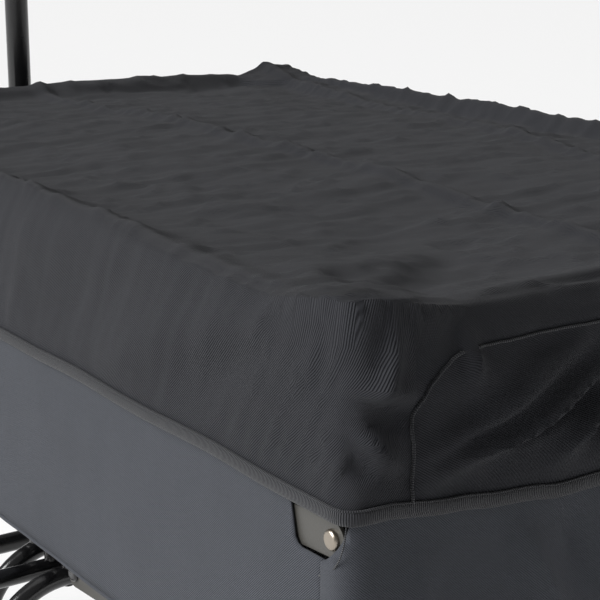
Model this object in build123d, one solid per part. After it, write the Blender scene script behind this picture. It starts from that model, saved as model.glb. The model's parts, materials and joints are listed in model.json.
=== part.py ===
from build123d import *
import math
import os

# Folding beach cart with a fitted rain cover. Millimetres, +Z up, +X towards the pull handle, +Y to the left side.
# The origin is on the ground, midway between the ends and midway between the sides.

# ---- driving dimensions: tub, cover and end frames ----
RIM_Z = 620.0            # height of the tub's rim, where the cover lies
COVER_LENGTH = 900.0
COVER_WIDTH = 556.4
COVER_DROP = 100.0       # depth of the cover's skirt below the rim
CLOTH = 2.0              # thickness of every plain cloth solid
GAP = 0.3                # clearance between soft solids
TUB_BOTTOM_Z = 372.0
TUB_TOP_Z = 604.0

POST_X = 430.0
POST_Y = 258.0
POST_R = 10.0
POST_BORE_R = 8.0
POST_TOP_Z = RIM_Z - 3
CAP_HEIGHT = 10.0
CAP_R = 11.5
CAP_PLUG = 18.0
CAP_ROUND = 6.0
TOP_TUBE_Z = 606.0
LOWER_TUBE_Z = 148.0     # below the lowest point that the sliders reach

# ---- driving dimensions: folding linkage ----
TOP_PIVOT_Z = 499.0
LOW_PIVOT_Z = 365.0
HUB_X = 120.0            # hub pivots stand this far either side of the middle
FITTING = 45.0           # length of the channel fitting on each end of an arm
FITTING_TILT = 4.0       # degrees that the fitting slopes down
FITTING_H = 21.0
FLANGE = 2.0
JAW = 25.0               # clear width between the flanges
BAR_H = 18.0
BAR_T = 6.0
BAR_INLET = 1.0          # how far the bar is let into its flange
BAR_START = 35.0         # the bar and the web begin here, clear of the post when folded
WEB_START = 38.5
RIVET_R = 4.0
RUNNING = 0.05           # radial play of a pivot
HEAD_R = 6.0
HEAD_H = 2.8
CROSS_HEAD_H = 1.6
HIDDEN_HEAD_H = 0.7      # rivets that lie behind the tub's side panels
HEAD_ROUND = 0.85        # the head's fillet, as a share of its height
RAIL_END = 10.0          # the hub rail runs this far past its pivots
SLEEVE = 24.4
SLEEVE_H = 23.0
SLEEVE_PLAY = 0.3
SLEEVE_CORNER = 4.0

# ---- driving dimensions: cradle under the floor ----
HOOPS = ((-78.0, 320.0, 344.0), (-24.0, 301.0, 347.0))    # X, reach and height of two arched rods
HOOP_R = 7.2
HOOP_BEND = 60.0
FOOT_Z = 272.0
FOOT_R = 8.0
FOOT_OVERHANG = 22.0
CROSS_X = -49.0          # straight tube between the rods
CROSS_R = 6.8
CROSS_Z = 340.0
CROSS_REACH = 310.0
CROSS_EDGE = 2.0
TIE_R = 5.0
TIE_Y = 150.0
STUB_R = 4.0             # short stubs that join the rods and the tube to the hub rails

# ---- driving dimensions: wheels ----
REAR_R = 100.0
REAR_W = 52.0
REAR_AXLE_X = -455.0
REAR_WHEEL_Y = 303.0
AXLE_R = 6.0
AXLE_NUT_R = 11.0
AXLE_NUT_T = 7.0
AXLE_PLATE_H = 28.0
REAR_SEAT = 68.0         # radius at which the tyre sits on its rim
TREAD_EDGE = 0.2         # fillet of the tread's edge, as a share of the tyre's width
GROOVE_W = 4.0
GROOVE_DEPTH = 2.5
HUB_WALL = 9.0
HUB_PROUD = 3.0          # the hub stands out this far beyond the rim
RIM_WALL = 7.0
WEB_HALF = 4.0
WEB_HOLES = 6
HOLE_MARGIN = 3.0
FRONT_R = 60.0
FRONT_W = 40.0
TRAIL = 30.0
FRONT_POST_END = 136.0
CROWN_Z = 122.0
CROWN_T = 7.0
STEM_R = 5.0
STEM_UP = 24.0           # the stem reaches this far up the post
FORK_Y = 24.0
FORK_T = 3.0
LEG_W = 24.0
LEG_X = (-6.0, 4.0)      # the leg's top spans between these offsets from the post
LEG_DROP = 4.0
CROWN_X = (-22.0, 20.0)
CROWN_CORNER = 8.0
FORK_NUT_R = 8.0
FORK_NUT_T = 4.0
BEARING_R = 15.0
BEARING_GAP = 0.5
BEARING_UP = 28.0        # the bearing's plug reaches this far up the post
FRONT_SEAT = 40.0

# ---- driving dimensions: handle ----
POLE_X = 540.0
POLE_R = 12.0
POLE_BORE_R = 10.0
POLE_TOP_Z = 745.0
INNER_R = 9.6
INNER_LOW_Z = 420.0
INNER_TOP_Z = 950.0
GRIP_W = 124.0
GRIP_H = 78.0
GRIP_R = 10.0
COLLAR_R = 15.0
COLLAR_H = 44.0
COLLAR_EDGE = 3.0
BUTTON_R = 6.0
BUTTON_TRAVEL = 3.0
BUTTON_UP = 9.0          # height of the button above the outer tube's top
BUTTON_PROUD = 4.0
INNER_WALL = 1.5
GRIP_BEND = 18.0
SOCKET_R = 14.0
SOCKET_DOWN = 32.0
SOCKET_EDGE = 3.0
PLATE_Y = 13.0           # inner face of each plate that carries the handle
PLATE_T = 3.0
PLATE_H = 30.0
GUSSET_X = (30.0, 60.0)
GUSSET_T = 4.0
PIN_HEAD_R = 7.0
PIN_HEAD_T = 5.0

SIDES = (1, -1)


def cyl(radius, start, end):
    """Round bar from one point to another."""
    axis = Vector(*end) - Vector(*start)
    return Plane(origin=start, z_dir=axis) * Cylinder(radius, axis.length, align=(Align.CENTER, Align.CENTER, Align.MIN))


def tube(radius, bore, start, end):
    return cyl(radius, start, end) - cyl(bore, start, end)


def block(low, high):
    """Box between two corners."""
    size = Vector(*high) - Vector(*low)
    return Pos(*low) * Box(size.X, size.Y, size.Z, align=(Align.MIN,) * 3)


def both_sides(shape):
    """The left piece and its mirror image on the right."""
    return [shape, mirror(shape, about=Plane.XZ)]


def save(name, shapes):
    """Write one node: a list of separate solids."""
    solids = []
    for shape in shapes if isinstance(shapes, list) else [shapes]:
        solids.extend(shape.solids())
    for number, solid in enumerate(solids):
        solid.label = f"{name}_{number}"
    export_step(solids[0] if len(solids) == 1 else Compound(children=solids), f"parts/{name}.step")


def slot_outline(start, end, height):
    """Flat outline in XZ, rounded at both ends, around the line from start to end."""
    centre = ((start[0] + end[0]) / 2, (start[1] + end[1]) / 2)
    run = math.hypot(end[0] - start[0], end[1] - start[1])
    turn = math.degrees(math.atan2(end[1] - start[1], end[0] - start[0]))
    return Pos(*centre) * Rot(0, 0, turn) * SlotCenterToCenter(run, height)


def upright(outline, y_low, y_high):
    """Extrude an XZ outline from y_low to y_high."""
    plane = Plane(origin=(0, y_high, 0), x_dir=(1, 0, 0), z_dir=(0, -1, 0))
    return extrude(plane * outline, amount=y_high - y_low)


def slot_plate(start, end, height, y_low, y_high):
    return upright(slot_outline(start, end, height), y_low, y_high)


# ---- scissor arms ----
SPAN = POST_X - HUB_X
DROP = TOP_PIVOT_Z - LOW_PIVOT_Z


def along(distance, offset=0.0):
    """Point on the upper fitting's centre line, and offset below it. The upper pivot is (0, 0)."""
    tilt = math.radians(FITTING_TILT)
    return (
        distance * math.cos(tilt) - offset * math.sin(tilt),
        -distance * math.sin(tilt) - offset * math.cos(tilt),
    )


def opposite(point):
    """The same point on the arm's other end, which is the first turned half round."""
    return (SPAN - point[0], -DROP - point[1])


def fitting(end):
    """Channel fitting: two flanges that straddle a post or rail, and a web under their inner end."""
    inner = POST_Y - JAW / 2
    outer = POST_Y + JAW / 2
    pivot = end((0.0, 0.0))
    tip = end(along(FITTING))
    shape = slot_plate(pivot, tip, FITTING_H, inner - FLANGE, inner)
    shape += slot_plate(pivot, tip, FITTING_H, outer, outer + FLANGE)
    web_low = FITTING_H / 2 - FLANGE / 2
    web_high = web_low - FLANGE
    corners = [(WEB_START, web_low), (FITTING, web_low), (FITTING, web_high), (WEB_START, web_high)]
    outline = Polygon(*[end(along(*corner)) for corner in corners], align=None)
    return shape + upright(outline, inner - FLANGE / 2, outer + FLANGE / 2)


def arm(bar_outside):
    """One scissor arm, from its upper pivot at (0, 0) down to its lower pivot. The bar is let into one flange."""
    wall = POST_Y + JAW / 2 + BAR_INLET if bar_outside else POST_Y - JAW / 2 - BAR_INLET + BAR_T
    route = [along(BAR_START + BAR_H / 2), along(FITTING), opposite(along(FITTING))]
    route.append(opposite(along(BAR_START + BAR_H / 2)))
    outline = Sketch()
    for start, end in zip(route, route[1:]):
        outline += slot_outline(start, end, BAR_H)
    shape = fitting(lambda point: point) + fitting(opposite) + upright(outline, wall - BAR_T, wall)
    for x, z in [(0.0, 0.0), (SPAN, -DROP), (SPAN / 2, -DROP / 2)]:
        shape -= cyl(RIVET_R + RUNNING, (x, POST_Y - JAW, z), (x, POST_Y + JAW, z))
    return shape


def outer_arm(end_x):
    """Arm from a post's top pivot down to the lower hub. end_x is -1 at the rear and 1 at the front."""
    shape = Pos(-POST_X, 0, TOP_PIVOT_Z) * arm(bar_outside=True)
    return shape if end_x < 0 else mirror(shape, about=Plane.YZ)


def inner_arm(end_x):
    """Arm from a post's slider up to the upper hub."""
    rising = mirror(arm(bar_outside=False), about=Plane.XY)
    shape = Pos(-POST_X, 0, LOW_PIVOT_Z) * rising
    return shape if end_x < 0 else mirror(shape, about=Plane.YZ)


def rivet(x, z, y_low, y_high, low_head=HEAD_H, high_head=HEAD_H):
    """Domed rivet along Y, with its heads outside y_low and y_high. A head of no height is left off."""
    shape = cyl(RIVET_R, (x, y_low, z), (x, y_high, z))
    for height, y, way in ((low_head, y_low, -1), (high_head, y_high, 1)):
        if height:
            shape += dome(x, y, z, way * height)
    return shape


def dome(x, y, z, reach):
    """Rivet head with a rounded rim, standing out along Y by reach, which has a sign."""
    head = cyl(HEAD_R, (x, y, z), (x, y + reach, z))
    rim_edges = head.edges().group_by(Axis.Y)[-1 if reach > 0 else 0]
    return fillet(rim_edges, abs(reach) * HEAD_ROUND)


HEAD_GAP = 0.1
JAW_LOW = POST_Y - JAW / 2 - FLANGE - HEAD_GAP
JAW_HIGH = POST_Y + JAW / 2 + FLANGE + HEAD_GAP


def write_linkage(name, end_x):
    """Arms, sliders and rivets of the rear or front scissors."""
    save(f"{name}_outer_arms", both_sides(outer_arm(end_x)))
    save(f"{name}_inner_arms", both_sides(inner_arm(end_x)))
    cross_x = end_x * (POST_X + HUB_X) / 2
    cross_z = (TOP_PIVOT_Z + LOW_PIVOT_Z) / 2
    bar_low = POST_Y - JAW / 2 - BAR_INLET - HEAD_GAP
    bar_high = POST_Y + JAW / 2 + BAR_INLET + HEAD_GAP
    save(f"{name}_cross_rivets", both_sides(rivet(cross_x, cross_z, bar_low, bar_high, high_head=CROSS_HEAD_H)))
    save(f"{name}_corner_rivets", both_sides(rivet(end_x * POST_X, TOP_PIVOT_Z, JAW_LOW, JAW_HIGH)))
    x = end_x * POST_X
    sleeve = Pos(x, POST_Y, LOW_PIVOT_Z) * Box(SLEEVE, SLEEVE, SLEEVE_H)
    sleeve = fillet(sleeve.edges().filter_by(Axis.Z), SLEEVE_CORNER)
    sleeve -= cyl(POST_R + SLEEVE_PLAY, (x, POST_Y, 0), (x, POST_Y, RIM_Z))
    save(f"{name}_sliders", both_sides(sleeve))
    inside = rivet(x, LOW_PIVOT_Z, JAW_LOW, POST_Y - SLEEVE / 2, high_head=0)
    outside = rivet(x, LOW_PIVOT_Z, POST_Y + SLEEVE / 2, JAW_HIGH, low_head=0)
    save(f"{name}_slider_rivets", both_sides(inside) + both_sides(outside))


def hub_rail(z):
    """Tube along the side that joins the rear scissors to the front scissors."""
    reach = HUB_X + RAIL_END
    shape = tube(POST_R, POST_BORE_R, (-reach, POST_Y, z), (reach, POST_Y, z))
    for x in (-HUB_X, HUB_X):
        shape -= cyl(RIVET_R, (x, POST_Y - JAW, z), (x, POST_Y + JAW, z))
    return shape


def write_hubs():
    for name, z, head in (("upper", TOP_PIVOT_Z, HIDDEN_HEAD_H), ("lower", LOW_PIVOT_Z, HEAD_H)):
        save(f"{name}_hub_rails", both_sides(hub_rail(z)))
        rivets = []
        for x in (-HUB_X, HUB_X):
            rivets += both_sides(rivet(x, z, JAW_LOW, JAW_HIGH, high_head=head))
        save(f"{name}_hub_rivets", rivets)


def cradle_hoop(x, reach, height):
    """Arched rod under the floor, with its ends turned down."""
    points = [(x, -reach, FOOT_Z), (x, -reach, height), (x, reach, height), (x, reach, FOOT_Z)]
    path = FilletPolyline(*points, radius=HOOP_BEND)
    return sweep(Plane(origin=points[0], z_dir=(0, 0, 1)) * Circle(HOOP_R), path=path)


def cross_tube():
    """Straight bar through the cradle, with eased ends."""
    bar = cyl(CROSS_R, (CROSS_X, -CROSS_REACH, CROSS_Z), (CROSS_X, CROSS_REACH, CROSS_Z))
    return fillet(bar.edges().filter_by(GeomType.CIRCLE), CROSS_EDGE)


def saddle(x, low, bearer):
    """Upright stub between a bearer and the left hub rail above it, shaped to both."""
    shape = cyl(STUB_R, (x, POST_Y, low), (x, POST_Y, LOW_PIVOT_Z))
    shape -= cyl(POST_R, (-HUB_X, POST_Y, LOW_PIVOT_Z), (HUB_X, POST_Y, LOW_PIVOT_Z))
    return shape - bearer


def foot_bar():
    """Bar under the left feet of both rods, running on past each."""
    (rear_x, rear_y, _), (front_x, front_y, _) = HOOPS
    slope = (front_y - rear_y) / (front_x - rear_x)
    start = (rear_x - FOOT_OVERHANG, rear_y - slope * FOOT_OVERHANG, FOOT_Z - FOOT_R)
    end = (front_x + FOOT_OVERHANG, front_y + slope * FOOT_OVERHANG, FOOT_Z - FOOT_R)
    return cyl(FOOT_R, start, end)


def write_cradle():
    hoops = [cradle_hoop(*hoop) for hoop in HOOPS]
    cross = cross_tube()
    save("cradle_hoops", hoops)
    save("cradle_cross_tube", cross)
    save("cradle_foot_bars", both_sides(foot_bar()))
    tie = cyl(TIE_R, (HOOPS[0][0], TIE_Y, CROSS_Z), (HOOPS[1][0], TIE_Y, CROSS_Z))
    save("cradle_ties", both_sides(tie - hoops[0] - hoops[1] - cross))
    saddles = both_sides(saddle(CROSS_X, CROSS_Z, cross))
    for (x, _, height), hoop in zip(HOOPS, hoops):
        saddles += both_sides(saddle(x, height - HOOP_R, hoop))
    save("cradle_saddles", saddles)


# ---- end frames ----
def post(x, bottom):
    shape = tube(POST_R, POST_BORE_R, (x, POST_Y, bottom), (x, POST_Y, POST_TOP_Z))
    shape -= cyl(RIVET_R, (x, POST_Y - JAW, TOP_PIVOT_Z), (x, POST_Y + JAW, TOP_PIVOT_Z))
    return shape


def cross_member(x, z):
    """Tube between the two posts, coped round them."""
    shape = tube(POST_R, POST_BORE_R, (x, -POST_Y, z), (x, POST_Y, z))
    for side in SIDES:
        shape -= cyl(POST_R, (x, side * POST_Y, 0), (x, side * POST_Y, RIM_Z))
    return max(shape.solids(), key=lambda solid: solid.volume)


def post_cap(x):
    """Domed plastic cap with a plug in the post's bore."""
    head = cyl(CAP_R, (x, POST_Y, POST_TOP_Z), (x, POST_Y, POST_TOP_Z + CAP_HEIGHT))
    head = fillet(head.edges().group_by(Axis.Z)[-1], CAP_ROUND)
    return head + cyl(POST_BORE_R, (x, POST_Y, POST_TOP_Z - CAP_PLUG), (x, POST_Y, POST_TOP_Z))


def write_end_frame(name, x, bottom):
    save(f"{name}_posts", both_sides(post(x, bottom)))
    save(f"{name}_top_tube", cross_member(x, TOP_TUBE_Z))
    save(f"{name}_lower_tube", cross_member(x, LOWER_TUBE_Z))
    save(f"{name}_post_caps", both_sides(post_cap(x)))


# ---- wheels ----
def turned(profile, x, y, z):
    """Revolve a closed outline of (radius, width) points about an axle along Y."""
    face = make_face(Polyline(*[(radius, width, 0) for radius, width in profile], close=True))
    return Pos(x, y, z) * revolve(face, Axis.Y)


WALL_SHARE = 0.8         # width of a tyre at its seat, as a share of its full width


def tyre(x, y, z, radius, width, seat):
    """Tyre with a crowned tread and two grooves round it."""
    half = width / 2
    narrow = half * WALL_SHARE
    shape = turned([(seat, -narrow), (radius, -half), (radius, half), (seat, narrow)], x, y, z)
    rims = shape.edges().filter_by(GeomType.CIRCLE).sort_by(lambda edge: edge.radius)
    shape = fillet(rims[-2:], width * TREAD_EDGE)
    for middle in (-width / 8, width / 8):
        low = middle - GROOVE_W / 2
        high = middle + GROOVE_W / 2
        floor = radius - GROOVE_DEPTH
        shape -= turned([(floor, low), (radius + 1, low), (radius + 1, high), (floor, high)], x, y, z)
    return shape


def ring(inner, outer, half, x, y, z):
    """Plain ring about an axle along Y, and half as wide either side of its middle."""
    return turned([(inner, -half), (outer, -half), (outer, half), (inner, half)], x, y, z)


def rim(x, y, z, seat, width, bore):
    """Moulded wheel centre: hub, web with lightening holes, and rim."""
    half = width / 2 * WALL_SHARE
    hub = bore + HUB_WALL
    inside = seat - RIM_WALL
    shape = ring(bore, hub, half + HUB_PROUD, x, y, z)
    shape += ring(inside, seat, half, x, y, z)
    shape += ring(hub - 1, inside + 1, WEB_HALF, x, y, z)
    middle = (hub + inside) / 2
    hole = min((inside - hub) / 2, middle / 2) - HOLE_MARGIN
    for number in range(WEB_HOLES):
        angle = 2 * math.pi * number / WEB_HOLES
        across = x + middle * math.cos(angle)
        up = z + middle * math.sin(angle)
        shape -= cyl(hole, (across, y - WEB_HALF - 1, up), (across, y + WEB_HALF + 1, up))
    return shape


def write_wheels():
    for side, word in ((1, "left"), (-1, "right")):
        y = side * REAR_WHEEL_Y
        save(f"rear_tyre_{word}", tyre(REAR_AXLE_X, y, REAR_R, REAR_R, REAR_W, REAR_SEAT))
        save(f"rear_rim_{word}", rim(REAR_AXLE_X, y, REAR_R, REAR_SEAT, REAR_W, AXLE_R + RUNNING))
        y = side * POST_Y
        x = POST_X - TRAIL
        save(f"front_tyre_{word}", tyre(x, y, FRONT_R, FRONT_R, FRONT_W, FRONT_SEAT))
        save(f"front_rim_{word}", rim(x, y, FRONT_R, FRONT_SEAT, FRONT_W, STEM_R + RUNNING))
        save(f"caster_fork_{word}", caster_fork(y))


def caster_fork(y):
    """Fork with its stem, and the axle bolt through its legs."""
    x = POST_X - TRAIL
    reach = FORK_Y + FORK_T
    crown_top = CROWN_Z + CROWN_T
    crown = block((POST_X + CROWN_X[0], y - reach, CROWN_Z), (POST_X + CROWN_X[1], y + reach, crown_top))
    shape = fillet(crown.edges().filter_by(Axis.Z), CROWN_CORNER)
    for low in (y + FORK_Y, y - reach):
        high = low + FORK_T
        for offset in LEG_X:
            shape += slot_plate((POST_X + offset, CROWN_Z - LEG_DROP), (x, FRONT_R), LEG_W, low, high)
        shape -= cyl(STEM_R, (x, low - 1, FRONT_R), (x, high + 1, FRONT_R))
    shape -= block((x - LEG_W, y - reach - 1, crown_top), (POST_X + LEG_W, y + reach + 1, RIM_Z))
    shape += cyl(STEM_R, (POST_X, y, CROWN_Z), (POST_X, y, FRONT_POST_END + STEM_UP - CROWN_T))
    bolt = cyl(STEM_R, (x, y - reach, FRONT_R), (x, y + reach, FRONT_R))
    for side in SIDES:
        bolt += cyl(FORK_NUT_R, (x, y + side * reach, FRONT_R), (x, y + side * (reach + FORK_NUT_T), FRONT_R))
    return [shape, bolt]


def axle_bracket():
    """Two plates and a spacer that hold the axle to the foot of the left rear post."""
    shape = cyl(AXLE_NUT_R, (REAR_AXLE_X, POST_Y - POST_R, REAR_R), (REAR_AXLE_X, POST_Y + POST_R, REAR_R))
    for low in (POST_Y - POST_R - PLATE_T, POST_Y + POST_R):
        shape += slot_plate((-POST_X, REAR_R), (REAR_AXLE_X, REAR_R), AXLE_PLATE_H, low, low + PLATE_T)
    return shape - cyl(AXLE_R, (REAR_AXLE_X, 0, REAR_R), (REAR_AXLE_X, RIM_Z, REAR_R))


def caster_bearing():
    """Flanged bush with a plug in the foot of the left front post."""
    shape = cyl(BEARING_R, (POST_X, POST_Y, CROWN_Z + CROWN_T + BEARING_GAP), (POST_X, POST_Y, FRONT_POST_END))
    shape += cyl(POST_BORE_R, (POST_X, POST_Y, FRONT_POST_END), (POST_X, POST_Y, FRONT_POST_END + BEARING_UP))
    return shape - cyl(STEM_R + RUNNING, (POST_X, POST_Y, CROWN_Z), (POST_X, POST_Y, FRONT_POST_END + STEM_UP))


def write_running_gear():
    reach = REAR_WHEEL_Y + REAR_W / 2
    axle = cyl(AXLE_R, (REAR_AXLE_X, -reach, REAR_R), (REAR_AXLE_X, reach, REAR_R))
    for side in SIDES:
        end = side * (reach + AXLE_NUT_T)
        axle += cyl(AXLE_NUT_R, (REAR_AXLE_X, side * reach, REAR_R), (REAR_AXLE_X, end, REAR_R))
    save("rear_axle", axle)
    save("rear_axle_brackets", both_sides(axle_bracket()))
    save("caster_bearings", both_sides(caster_bearing()))


# ---- handle ----
PIVOT_Z = LOWER_TUBE_Z
BUTTON_Z = POLE_TOP_Z + BUTTON_UP


def handle_bracket():
    """Two plates and a gusset, welded to the front frame's lower tube."""
    gusset_low = PIVOT_Z - PLATE_H / 2
    shape = block((POST_X + GUSSET_X[0], -PLATE_Y, gusset_low), (POST_X + GUSSET_X[1], PLATE_Y, gusset_low + GUSSET_T))
    for low in (PLATE_Y, -PLATE_Y - PLATE_T):
        shape += slot_plate((POST_X, PIVOT_Z), (POLE_X, PIVOT_Z), PLATE_H, low, low + PLATE_T)
    shape -= cyl(POST_R, (POST_X, -POST_Y, PIVOT_Z), (POST_X, POST_Y, PIVOT_Z))
    return shape - cyl(RIVET_R, (POLE_X, -POST_Y, PIVOT_Z), (POLE_X, POST_Y, PIVOT_Z))


def handle_collar():
    """Plastic collar on the outer tube's top, bored for the inner tube and the button."""
    low = POLE_TOP_Z - COLLAR_H / 2
    shape = cyl(COLLAR_R, (POLE_X, 0, low), (POLE_X, 0, low + COLLAR_H))
    shape = fillet(shape.edges().filter_by(GeomType.CIRCLE), COLLAR_EDGE)
    shape -= cyl(POLE_R, (POLE_X, 0, 0), (POLE_X, 0, POLE_TOP_Z))
    shape -= cyl(POLE_BORE_R, (POLE_X, 0, 0), (POLE_X, 0, POLE_TOP_Z + COLLAR_H))
    return shape - cyl(BUTTON_R + RUNNING, (POLE_X - COLLAR_R * 2, 0, BUTTON_Z), (POLE_X, 0, BUTTON_Z))


def write_handle():
    save("handle_bracket", handle_bracket())
    edge = PLATE_Y + PLATE_T
    pin = cyl(RIVET_R, (POLE_X, -edge, PIVOT_Z), (POLE_X, edge, PIVOT_Z))
    for side in SIDES:
        pin += cyl(PIN_HEAD_R, (POLE_X, side * edge, PIVOT_Z), (POLE_X, side * (edge + PIN_HEAD_T), PIVOT_Z))
    save("handle_pivot_bolt", pin)
    pole = tube(POLE_R, POLE_BORE_R, (POLE_X, 0, PIVOT_Z - POLE_R), (POLE_X, 0, POLE_TOP_Z))
    save("handle_outer_tube", pole - cyl(RIVET_R + RUNNING, (POLE_X, -edge, PIVOT_Z), (POLE_X, edge, PIVOT_Z)))
    save("handle_collar", handle_collar())
    save("handle_inner_tube", tube(INNER_R, INNER_R - INNER_WALL, (POLE_X, 0, INNER_LOW_Z), (POLE_X, 0, INNER_TOP_Z)))
    inner_face = POLE_X - POLE_BORE_R - BUTTON_TRAVEL - GAP
    outer_face = POLE_X - COLLAR_R - BUTTON_PROUD
    save("handle_button", cyl(BUTTON_R, (inner_face, 0, BUTTON_Z), (outer_face, 0, BUTTON_Z)))
    write_grip()


def write_grip():
    """Closed loop grip on the top of the inner tube."""
    low = INNER_TOP_Z + GRIP_R
    half = GRIP_W / 2 - GRIP_R
    top = low + GRIP_H - 2 * GRIP_R
    corners = [(POLE_X, half, low), (POLE_X, half, top), (POLE_X, -half, top), (POLE_X, -half, low)]
    path = FilletPolyline(*corners, radius=GRIP_BEND, close=True)
    loop = sweep(Plane(origin=path @ 0, z_dir=path % 0) * Circle(GRIP_R), path=path)
    socket = cyl(SOCKET_R, (POLE_X, 0, INNER_TOP_Z - SOCKET_DOWN), (POLE_X, 0, low))
    shape = loop + fillet(socket.edges().group_by(Axis.Z)[0], SOCKET_EDGE)
    shape -= cyl(INNER_R, (POLE_X, 0, INNER_LOW_Z), (POLE_X, 0, INNER_TOP_Z))
    save("handle_grip", shape)


# ---- soft goods ----
SKIN_T = 1.8             # thickness of the tub's outer cloth solids
SKIN_Y = 275.4           # outer face of the tub's side panels
SKIN_X = 446.0           # outer face of the tub's end panels
RETURN_X = 415.5         # the end panels wrap round the posts to here
LINER_X = 417.0
LINER_Y = 239.5
MAT_T = 8.5
MAT_MARGIN = 7.0         # the mat stops this far short of the liner's walls
ROLL_R = 9.0
ROLL_Y = 262.0
ROLL_Z = 608.0
OPENING_L = 44.0         # cut-outs in the cloth round the corner fittings
OPENING_H = 30.0
OPENING_SHIFT = 9.0
SEAM = 41.0              # the cover's end seams stand this far in from its corners
END_SEAM_Z = 597.0       # top edge of the sewn-in end panels
END_FACE = 8.0           # the end panels' cut reaches this far in from the cover's ends
HEM_H = 8.0
HEM_T = 3.2
HEM_PROUD = 1.0
COVER_TOP_Z = POST_TOP_Z + CAP_HEIGHT + CLOTH + 1


def shell(x, y, low, high, wall, top=False):
    """Four walls, closed above if top is set."""
    outer = block((-x, -y, low), (x, y, high))
    cavity_top = high - wall if top else high
    return outer - block((-x + wall, -y + wall, low), (x - wall, y - wall, cavity_top))


def corner_openings():
    """Cutters for the holes in the tub's cloth where the corner fittings show."""
    cuts = []
    for end_x in SIDES:
        for side in SIDES:
            centre = (end_x * (POST_X - OPENING_SHIFT), side * SKIN_Y, TOP_PIVOT_Z)
            cuts.append(Pos(*centre) * Box(OPENING_L, 4 * SKIN_T, OPENING_H))
    return cuts


def write_tub():
    walls = shell(SKIN_X, SKIN_Y, TUB_BOTTOM_Z, TUB_TOP_Z, SKIN_T)
    for cut in corner_openings():
        walls -= cut
    inside = RETURN_X - GAP
    middle = walls & block((-inside, -RIM_Z, 0), (inside, RIM_Z, RIM_Z))
    for side, word in ((1, "left"), (-1, "right")):
        low = min(0, side * RIM_Z)
        high = max(0, side * RIM_Z)
        save(f"tub_side_{word}", middle & block((-RIM_Z, low, 0), (RIM_Z, high, RIM_Z)))
    for end_x, word in ((-1, "rear"), (1, "front")):
        low = min(end_x * RETURN_X, end_x * RIM_Z)
        high = max(end_x * RETURN_X, end_x * RIM_Z)
        save(f"tub_end_{word}", walls & block((low, -RIM_Z, 0), (high, RIM_Z, RIM_Z)))
    write_lining()


def write_lining():
    """Inner liner, floor mat, and the padded rolls on the long edges."""
    floor_z = TUB_BOTTOM_Z + CLOTH
    liner = block((-LINER_X, -LINER_Y, floor_z), (LINER_X, LINER_Y, TUB_TOP_Z))
    liner -= block((-LINER_X + CLOTH, -LINER_Y + CLOTH, floor_z + CLOTH), (LINER_X - CLOTH, LINER_Y - CLOTH, RIM_Z))
    save("tub_liner", liner)
    mat_x = LINER_X - MAT_MARGIN
    mat_y = LINER_Y - MAT_MARGIN
    mat_z = floor_z + CLOTH + GAP
    save("floor_mat", block((-mat_x, -mat_y, mat_z), (mat_x, mat_y, mat_z + MAT_T)))
    reach = LINER_X - 1
    save("rim_rolls", both_sides(cyl(ROLL_R, (-reach, ROLL_Y, ROLL_Z), (reach, ROLL_Y, ROLL_Z))))


def write_cover():
    """Fitted rain cover: one panel over the top and long sides, two sewn-in end panels, and a bound hem."""
    half_x = COVER_LENGTH / 2
    half_y = COVER_WIDTH / 2
    whole = shell(half_x, half_y, RIM_Z - COVER_DROP, COVER_TOP_Z, CLOTH, top=True)
    window = half_y - SEAM
    panel = whole
    for end_x, word in ((-1, "rear"), (1, "front")):
        low = min(end_x * (half_x - END_FACE), end_x * RIM_Z)
        high = max(end_x * (half_x - END_FACE), end_x * RIM_Z)
        panel -= block((low, -window, 0), (high, window, END_SEAM_Z))
        trimmed = block((low, -window + GAP, 0), (high, window - GAP, END_SEAM_Z - GAP))
        save(f"cover_end_{word}", whole & trimmed)
    save("cover_main_panel", panel)
    top = RIM_Z - COVER_DROP - GAP
    save("cover_hem", shell(half_x + HEM_PROUD, half_y + HEM_PROUD, top - HEM_H, top, HEM_T))


def main():
    os.makedirs("parts", exist_ok=True)
    write_end_frame("rear", -POST_X, REAR_R - AXLE_PLATE_H / 2)
    write_end_frame("front", POST_X, FRONT_POST_END)
    write_linkage("rear", -1)
    write_linkage("front", 1)
    write_hubs()
    write_cradle()
    write_running_gear()
    write_wheels()
    write_handle()
    write_tub()
    write_cover()


main()
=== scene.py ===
import json
import math

import bmesh
import bpy
import numpy as np
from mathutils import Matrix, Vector, noise


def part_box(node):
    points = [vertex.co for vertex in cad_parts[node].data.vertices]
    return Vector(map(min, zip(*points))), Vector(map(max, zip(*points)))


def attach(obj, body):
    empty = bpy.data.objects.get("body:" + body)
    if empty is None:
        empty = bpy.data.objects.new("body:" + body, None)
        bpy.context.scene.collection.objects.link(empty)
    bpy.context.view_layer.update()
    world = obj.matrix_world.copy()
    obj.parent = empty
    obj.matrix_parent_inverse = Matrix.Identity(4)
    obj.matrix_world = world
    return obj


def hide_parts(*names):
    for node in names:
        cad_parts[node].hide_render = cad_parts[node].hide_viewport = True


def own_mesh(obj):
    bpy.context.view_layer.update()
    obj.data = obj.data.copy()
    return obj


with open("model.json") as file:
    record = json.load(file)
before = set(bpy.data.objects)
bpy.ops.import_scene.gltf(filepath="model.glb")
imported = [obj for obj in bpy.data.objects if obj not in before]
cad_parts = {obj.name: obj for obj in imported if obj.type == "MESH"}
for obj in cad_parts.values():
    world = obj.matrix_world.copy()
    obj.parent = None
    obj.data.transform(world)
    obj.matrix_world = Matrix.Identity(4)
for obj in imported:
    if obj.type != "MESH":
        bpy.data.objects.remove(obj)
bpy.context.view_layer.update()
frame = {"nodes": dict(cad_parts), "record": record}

# Folding beach cart: looks, soft goods, lights and camera. Metres, in the CAD model's frame.

# ---- small helpers ----
def span(node):
    """The two corners of a CAD node's box."""
    return [Vector(corner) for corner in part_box(node)]


def clamped(value):
    return min(1.0, max(0.0, value))


def within(value, limit):
    return max(-limit, min(limit, value))


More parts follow.
